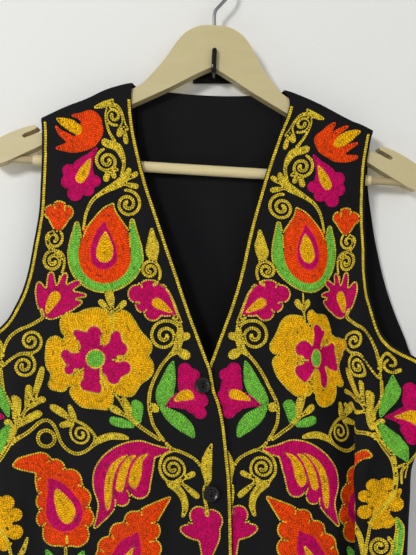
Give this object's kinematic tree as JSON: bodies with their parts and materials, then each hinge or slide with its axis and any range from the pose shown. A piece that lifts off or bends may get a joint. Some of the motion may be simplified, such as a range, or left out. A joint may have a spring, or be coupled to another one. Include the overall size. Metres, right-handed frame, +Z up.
{
  "type": "embroidered waistcoat on a wooden hanger and a wall hook",
  "caption": "Sleeveless V-neck waistcoat with floral chain-stitch embroidery, buttoned, hung flat on a tilted wooden hanger that rests on a wall hook.",
  "frame": {"origin": "middle of the hook plate's back face, on the wall", "axes": "+Z up, +Y into the wall, +X to the right for someone facing the waistcoat; the cloth hangs in front of the wall at negative Y"},
  "size_m": [0.4783, 0.0704, 0.6891],
  "materials": {
    "cloth": "matte black cotton with chain-stitch embroidery",
    "button": "polished black",
    "wood": "pale plywood, satin lacquer",
    "sleeve": "finely ribbed, satin",
    "wire": "bright drawn wire",
    "hook": "gloss black"
  },
  "bodies": {
    "root": {"front_over": "cloth", "front_under": "cloth", "back": "cloth", "button_1": "button", "button_2": "button", "button_3": "button", "hanger_body": "wood", "trouser_bar": "wood", "bar_sleeve": "sleeve", "hanger_wire": "wire", "hook_plate": "hook", "hook_rod": "hook"}
  },
  "joints": []
}
